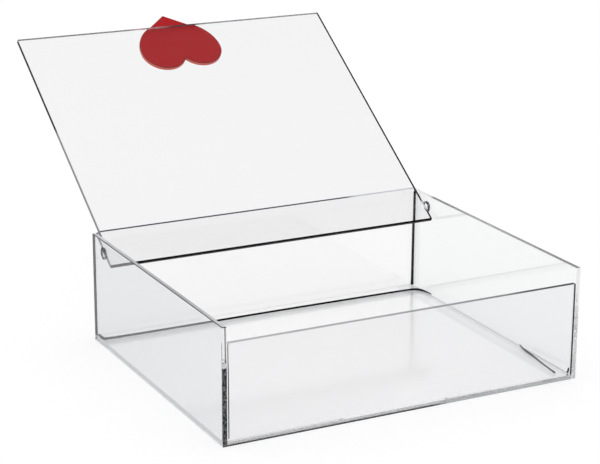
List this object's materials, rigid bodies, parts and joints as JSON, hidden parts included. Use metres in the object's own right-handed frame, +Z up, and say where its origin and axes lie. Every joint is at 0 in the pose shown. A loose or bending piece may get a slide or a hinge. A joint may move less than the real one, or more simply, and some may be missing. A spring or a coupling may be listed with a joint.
{
  "type": "hinged lid storage box",
  "caption": "Clear acrylic storage box: open-top tray of cemented sheets with a clear lid that pivots on two side pins and carries a red heart grip.",
  "frame": {"origin": "centre of the box's footprint, on the surface that it stands on", "axes": "+X to the right across the width, +Y from the front wall to the back wall, +Z up"},
  "size_m": [0.25, 0.3676, 0.184],
  "materials": {
    "clear_sheet": "clear cast acrylic sheet, polished faces",
    "clear_rod": "clear acrylic rod, cut ends",
    "red_sheet": "translucent red acrylic sheet, polished faces and edges"
  },
  "bodies": {
    "box": {"bottom_panel": "clear_sheet", "front_wall": "clear_sheet", "back_wall": "clear_sheet", "left_wall": "clear_sheet", "right_wall": "clear_sheet"},
    "lid": {"lid_panel": "clear_sheet", "hinge_pin_left": "clear_rod", "hinge_pin_right": "clear_rod", "heart_grip": "red_sheet"}
  },
  "joints": [
    {"name": "lid_hinge", "type": "hinge", "parent": "box", "child": "lid", "pos_m": [0, 0.0835, 0.0663], "axis": [1, 0, 0], "range_deg": [0, 146.42]}
  ]
}
